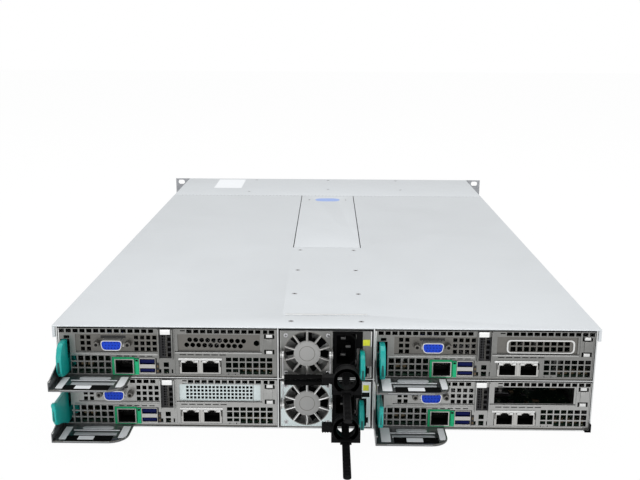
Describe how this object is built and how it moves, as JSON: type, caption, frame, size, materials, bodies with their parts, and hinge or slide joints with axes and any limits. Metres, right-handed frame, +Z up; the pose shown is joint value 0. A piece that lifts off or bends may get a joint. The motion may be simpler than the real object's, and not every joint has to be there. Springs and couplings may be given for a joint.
{
  "type": "two-unit rack server",
  "caption": "Two-unit rack server: sliding compute modules stacked on both sides of a pair of power supplies, in a sheet-metal body with rack ears.",
  "frame": {"origin": "centre of the flat underside of the body, at the plane it rests on", "axes": "+Z up; +Y from the rear (module and supply side) to the front (drive side); +X to the right of somebody facing the rear"},
  "size_m": [0.4826, 0.8328, 0.0874],
  "materials": {
    "shell_zinc": "satin galvanized sheet",
    "cover_grey": "fine matt grey coat on sheet steel",
    "panel_zinc": "satin zinc-plated sheet",
    "bright_steel": "bright nickel-plated sheet",
    "port_metal": "tin-plated shells",
    "board_green": "solder-masked circuit board",
    "sink_aluminium": "milled aluminium fins",
    "fan_black": "moulded plastic",
    "lever_teal": "moulded teal plastic",
    "inlet_black": "moulded thermoplastic",
    "bail_steel": "plated wire and strip",
    "strap_nylon": "moulded nylon",
    "pod_plastic": "moulded grey plastic",
    "carrier_black": "moulded plastic",
    "button_grey": "moulded plastic"
  },
  "bodies": {
    "chassis": {"chassis_pan": "shell_zinc", "bay_frame": "shell_zinc", "rear_cover": "cover_grey", "front_cover": "cover_grey", "middle_cover": "cover_grey", "backplane": "board_green", "power_board": "board_green", "drive_cage": "shell_zinc", "drive_carriers": "carrier_black", "rack_ear_left": "pod_plastic", "rack_ear_right": "pod_plastic"},
    "module_1": {"module_tray_1": "panel_zinc", "module_panel_1": "panel_zinc", "module_ports_1": "port_metal", "mainboard_1": "board_green", "heat_sinks_1": "sink_aluminium", "module_fans_1": "fan_black", "slot_cover_1": "bright_steel"},
    "module_release_1": {"module_latch_1": "lever_teal"},
    "module_2": {"module_tray_2": "panel_zinc", "module_panel_2": "panel_zinc", "module_ports_2": "port_metal", "mainboard_2": "board_green", "heat_sinks_2": "sink_aluminium", "module_fans_2": "fan_black", "slot_cover_2": "bright_steel"},
    "module_release_2": {"module_latch_2": "lever_teal"},
    "module_3": {"module_tray_3": "panel_zinc", "module_panel_3": "panel_zinc", "module_ports_3": "port_metal", "mainboard_3": "board_green", "heat_sinks_3": "sink_aluminium", "module_fans_3": "fan_black"},
    "module_release_3": {"module_latch_3": "lever_teal"},
    "module_4": {"module_tray_4": "panel_zinc", "module_panel_4": "panel_zinc", "module_ports_4": "port_metal", "mainboard_4": "board_green", "heat_sinks_4": "sink_aluminium", "module_fans_4": "fan_black", "slot_cover_4": "bright_steel"},
    "module_release_4": {"module_latch_4": "lever_teal"},
    "psu_1": {"psu_case_1": "panel_zinc", "psu_inlet_1": "inlet_black", "cord_strap_1": "strap_nylon"},
    "psu_rotor_1": {"psu_fan_1": "fan_black"},
    "psu_release_1": {"psu_latch_1": "lever_teal"},
    "psu_handle_1": {"psu_bail_1": "bail_steel"},
    "clamp_1": {"cord_clamp_1": "strap_nylon"},
    "psu_2": {"psu_case_2": "panel_zinc", "psu_inlet_2": "inlet_black", "cord_strap_2": "strap_nylon"},
    "psu_rotor_2": {"psu_fan_2": "fan_black"},
    "psu_release_2": {"psu_latch_2": "lever_teal"},
    "psu_handle_2": {"psu_bail_2": "bail_steel"},
    "clamp_2": {"cord_clamp_2": "strap_nylon"},
    "button_1": {"power_button_1": "button_grey"},
    "button_2": {"power_button_2": "button_grey"},
    "button_3": {"power_button_3": "button_grey"},
    "button_4": {"power_button_4": "button_grey"}
  },
  "joints": [
    {"name": "module_slide_1", "type": "slide", "parent": "chassis", "child": "module_1", "axis": [0, -1, 0], "range_m": [0, 0.5]},
    {"name": "module_latch_press_1", "type": "hinge", "parent": "module_1", "child": "module_release_1", "pos_m": [-0.21, -0.334, 0.0037], "axis": [0, 0, 1], "range_deg": [0, 6], "stiffness_Nm_per_rad": 0.5, "springref_deg": -2.86},
    {"name": "module_slide_2", "type": "slide", "parent": "chassis", "child": "module_2", "axis": [0, -1, 0], "range_m": [0, 0.5]},
    {"name": "module_latch_press_2", "type": "hinge", "parent": "module_2", "child": "module_release_2", "pos_m": [-0.21, -0.334, 0.0467], "axis": [0, 0, 1], "range_deg": [0, 6], "stiffness_Nm_per_rad": 0.5, "springref_deg": -2.86},
    {"name": "module_slide_3", "type": "slide", "parent": "chassis", "child": "module_3", "axis": [0, -1, 0], "range_m": [0, 0.5]},
    {"name": "module_latch_press_3", "type": "hinge", "parent": "module_3", "child": "module_release_3", "pos_m": [0.044, -0.334, 0.0037], "axis": [0, 0, 1], "range_deg": [0, 6], "stiffness_Nm_per_rad": 0.5, "springref_deg": -2.86},
    {"name": "module_slide_4", "type": "slide", "parent": "chassis", "child": "module_4", "axis": [0, -1, 0], "range_m": [0, 0.5]},
    {"name": "module_latch_press_4", "type": "hinge", "parent": "module_4", "child": "module_release_4", "pos_m": [0.044, -0.334, 0.0467], "axis": [0, 0, 1], "range_deg": [0, 6], "stiffness_Nm_per_rad": 0.5, "springref_deg": -2.86},
    {"name": "psu_slide_1", "type": "slide", "parent": "chassis", "child": "psu_1", "axis": [0, -1, 0], "range_m": [0, 0.17]},
    {"name": "psu_fan_spin_1", "type": "hinge", "parent": "psu_1", "child": "psu_rotor_1", "pos_m": [-0.0151, -0.3508, 0.022], "axis": [0, 1, 0], "continuous": true},
    {"name": "psu_latch_press_1", "type": "hinge", "parent": "psu_1", "child": "psu_release_1", "pos_m": [0.02945, -0.336, 0.0033], "axis": [0, 0, -1], "range_deg": [0, 5], "stiffness_Nm_per_rad": 0.5, "springref_deg": -2.86},
    {"name": "psu_handle_swing_1", "type": "hinge", "parent": "psu_1", "child": "psu_handle_1", "pos_m": [-0.03485, -0.3588, 0.0233], "axis": [1, 0, 0], "range_deg": [0, 180]},
    {"name": "clamp_slide_1", "type": "slide", "parent": "psu_1", "child": "clamp_1", "axis": [0, -1, 0], "range_m": [-0.019, 0.04]},
    {"name": "psu_slide_2", "type": "slide", "parent": "chassis", "child": "psu_2", "axis": [0, -1, 0], "range_m": [0, 0.17]},
    {"name": "psu_fan_spin_2", "type": "hinge", "parent": "psu_2", "child": "psu_rotor_2", "pos_m": [-0.0151, -0.3508, 0.065], "axis": [0, 1, 0], "continuous": true},
    {"name": "psu_latch_press_2", "type": "hinge", "parent": "psu_2", "child": "psu_release_2", "pos_m": [0.02945, -0.336, 0.0463], "axis": [0, 0, -1], "range_deg": [0, 5], "stiffness_Nm_per_rad": 0.5, "springref_deg": -2.86},
    {"name": "psu_handle_swing_2", "type": "hinge", "parent": "psu_2", "child": "psu_handle_2", "pos_m": [-0.03485, -0.3588, 0.0663], "axis": [-1, 0, 0], "range_deg": [0, 180]},
    {"name": "clamp_slide_2", "type": "slide", "parent": "psu_2", "child": "clamp_2", "axis": [0, -1, 0], "range_m": [-0.019, 0.04]},
    {"name": "button_press_1", "type": "slide", "parent": "chassis", "child": "button_1", "axis": [0, -1, 0], "range_m": [0, 0.0012], "stiffness_N_per_m": 300, "springref_m": -0.0005},
    {"name": "button_press_2", "type": "slide", "parent": "chassis", "child": "button_2", "axis": [0, -1, 0], "range_m": [0, 0.0012], "stiffness_N_per_m": 300, "springref_m": -0.0005},
    {"name": "button_press_3", "type": "slide", "parent": "chassis", "child": "button_3", "axis": [0, -1, 0], "range_m": [0, 0.0012], "stiffness_N_per_m": 300, "springref_m": -0.0005},
    {"name": "button_press_4", "type": "slide", "parent": "chassis", "child": "button_4", "axis": [0, -1, 0], "range_m": [0, 0.0012], "stiffness_N_per_m": 300, "springref_m": -0.0005}
  ]
}
